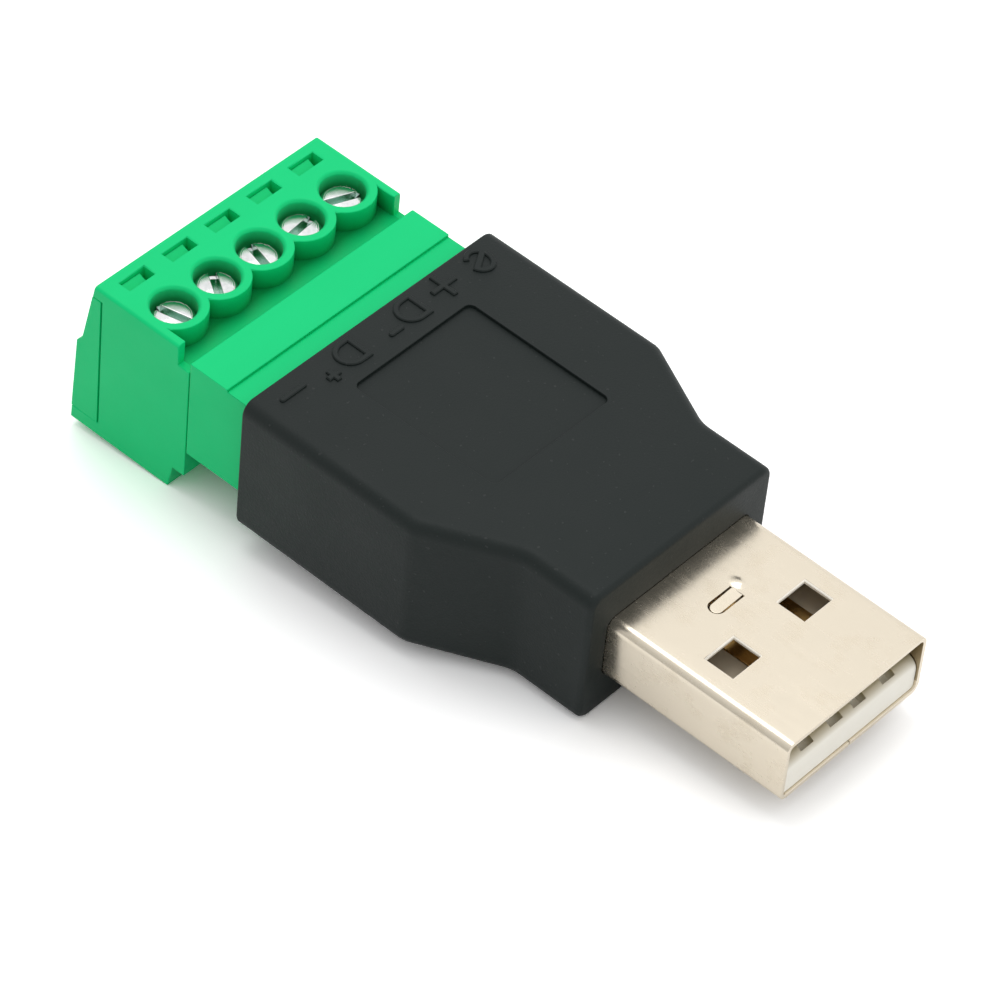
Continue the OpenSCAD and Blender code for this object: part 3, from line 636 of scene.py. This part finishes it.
# Floor: it touches the plug's foot and the housing's front, so it lies a little askew under the part
floorLook = dict(size=3.0, cells=8, foot=1.3 * mm, albedo=0.7, seen=1.34, mirrored=1.02)
lastDepth = 1  # of the rays that see the floor and the backdrop white


def rayKinds(w):  # what the camera sees by itself, or in the first thing that mirrors it or lets it through
    rays = w.add("LightPath").socket.node.outputs
    early = 1 - (Wire(w.tree, rays["Ray Depth"]) > lastDepth + 0.5)
    return [Wire(w.tree, rays["Is %s Ray" % kind]) * early for kind in ("Camera", "Glossy", "Transmission")]


def floorWhite():
    look = floorLook
    material, w = startMaterial("floorWhite")
    seen, glossy, through = rayKinds(w)
    mirrored = w.tint((glossy + through).clamp(), grey(look["albedo"]), grey(look["mirrored"]))
    colour = w.tint(seen, mirrored, grey(look["seen"]))
    w.add("OutputMaterial", inputs={"Surface": w.add("BsdfDiffuse", inputs={"Color": colour})})
    return material


def layFloor():
    look = floorLook
    housingLow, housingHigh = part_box("housing")
    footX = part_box("header_body")[0][0] - look["foot"]
    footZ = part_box("plug_body")[0][2]
    tilt = math.atan2(housingLow[2] - footZ, housingHigh[0] - footX)
    bm = bmesh.new()
    bmesh.ops.create_grid(bm, x_segments=look["cells"], y_segments=look["cells"], size=look["size"] / 2)
    mesh = bpy.data.meshes.new("floor")
    bm.to_mesh(mesh)
    bm.free()
    mesh.materials.append(floorWhite())
    floor = bpy.data.objects.new("floor", mesh)
    bpy.context.collection.objects.link(floor)
    floor.location = (footX, 0, footZ)
    floor.rotation_euler = (0, -tilt, 0)
    return tilt


print("floor laid, tilted by %.2f degrees" % math.degrees(layFloor()))


# Soft studio light: a dome palest behind the part, a white backdrop in what shines, one lamp overhead
studioLook = dict(
    pale=1.1, dim=0.42, palest=(0.25, 0.63, 0.74), backdrop=1.03,
    power=0.32, size=0.24, towards=(-0.3, 0.08, 0.95), away=0.42)


def studio():
    look = studioLook
    world = bpy.data.worlds.new("studio")
    bpy.context.scene.world = world
    world.use_nodes = True
    world.node_tree.nodes.clear()
    w = Wire(world.node_tree)
    facing = {0: w.add("TexCoord", out="Generated"), 1: Vector(look["palest"]).normalized()}
    turned = w.add("VectorMath", {"operation": "DOT_PRODUCT"}, facing, out="Value")
    dome = w.tint(turned * 0.5 + 0.5, grey(look["dim"]), grey(look["pale"]))
    seen, glossy, through = rayKinds(w)
    sky = w.tint((seen + glossy + through).clamp(), dome, grey(look["backdrop"]))
    w.add("OutputWorld", inputs={"Surface": w.add("Background", inputs={"Color": sky})})
    lamp = bpy.data.lights.new("overhead", "AREA")
    lamp.energy = look["power"]
    lamp.shape = "DISK"
    lamp.size = look["size"]
    holder = bpy.data.objects.new("overhead", lamp)
    bpy.context.collection.objects.link(holder)
    aim = Vector(look["towards"]).normalized()
    holder.location = aim * look["away"]
    holder.rotation_euler = aim.to_track_quat("Z", "Y").to_euler()


studio()


# Camera: a long lens, set by where it aims and how it stands
cameraLook = dict(
    aim=(0.91 * mm, -1.73 * mm, 7.27 * mm), away=319.43 * mm, azimuth=-52.404, elevation=45.829, roll=6.223,
    lens=204.51, sensor=36.0, reach=10)


def setCamera():
    look = cameraLook
    a, e, r = (math.radians(look[key]) for key in ("azimuth", "elevation", "roll"))
    back = Vector((math.cos(e) * math.cos(a), math.cos(e) * math.sin(a), math.sin(e)))
    level = Vector((-math.sin(a), math.cos(a), 0))
    upright = back.cross(level)
    right = level * math.cos(r) + upright * math.sin(r)
    up = upright * math.cos(r) - level * math.sin(r)
    camera = bpy.data.cameras.new("camera")
    camera.lens = look["lens"]
    camera.sensor_width = look["sensor"]
    camera.clip_end = look["reach"]
    holder = bpy.data.objects.new("camera", camera)
    bpy.context.collection.objects.link(holder)
    turn = Matrix((right, up, back)).transposed().to_4x4()
    holder.matrix_world = Matrix.Translation(Vector(look["aim"]) + back * look["away"]) @ turn
    bpy.context.scene.camera = holder


setCamera()
bpy.context.scene.view_settings.view_transform = "Standard"
print("stage set")
